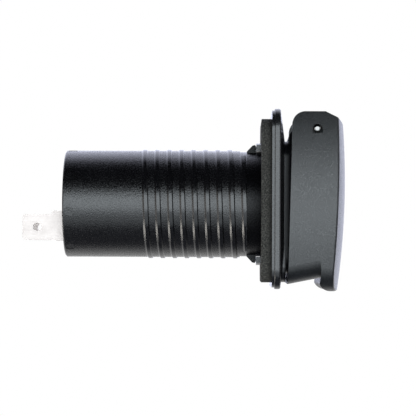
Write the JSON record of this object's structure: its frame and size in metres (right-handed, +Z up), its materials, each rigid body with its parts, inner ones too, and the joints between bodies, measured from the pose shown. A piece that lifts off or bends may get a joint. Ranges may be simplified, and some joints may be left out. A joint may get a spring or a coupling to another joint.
{
  "type": "usb charging socket",
  "caption": "Panel-mount charging socket with a threaded round barrel, blade terminals, square bezel on a foam gasket and a sprung flip cap over twin ports.",
  "frame": {"origin": "on the barrel's axis, in the plane where the gasket meets the panel", "axes": "+X out of the panel towards the user along the barrel's axis, +Z up to the hinge side, +Y completes the right-handed frame"},
  "size_m": [0.0795, 0.0432, 0.0438],
  "materials": {
    "black_plastic": "fine satin texture",
    "foam_rubber": "matte foam",
    "seal_rubber": "smooth rubber",
    "tin_plate": "bright tin plate",
    "nickel_sheet": "nickel plate",
    "white_plastic": "moulded",
    "gilt_brass": "gilt",
    "board_laminate": "solder resist",
    "ferrite": "pressed ferrite",
    "copper_wire": "enamelled",
    "can_aluminium": "drawn can",
    "chip_plastic": "moulded",
    "polished_steel": "polished",
    "spring_steel": "drawn wire"
  },
  "bodies": {
    "socket": {"socket_barrel": "black_plastic", "rear_plate": "black_plastic", "positive_terminal": "tin_plate", "negative_terminal": "tin_plate", "front_bezel": "black_plastic", "panel_gasket": "foam_rubber", "port_faceplate": "black_plastic", "usb_shell_upper": "nickel_sheet", "usb_shell_lower": "nickel_sheet", "usb_tongue_upper": "white_plastic", "usb_tongue_lower": "white_plastic", "usb_contacts_upper": "gilt_brass", "usb_contacts_lower": "gilt_brass", "port_board": "board_laminate", "converter_board": "board_laminate", "inductor_core": "ferrite", "inductor_winding": "copper_wire", "input_capacitor": "can_aluminium", "output_capacitor": "can_aluminium", "converter_chip": "chip_plastic", "rectifier_diode": "chip_plastic", "chip_resistors": "chip_plastic", "lid_seal": "seal_rubber", "hinge_pin": "polished_steel", "hinge_spring": "spring_steel"},
    "cap": {"flip_cap": "black_plastic"}
  },
  "joints": [
    {"name": "hinge", "type": "hinge", "parent": "socket", "child": "cap", "pos_m": [0.01335, 0, 0.0178], "axis": [0, -1, 0], "range_deg": [0, 110], "stiffness_Nm_per_rad": 0.004, "springref_deg": -68.75, "deforming": ["hinge_spring"]}
  ]
}
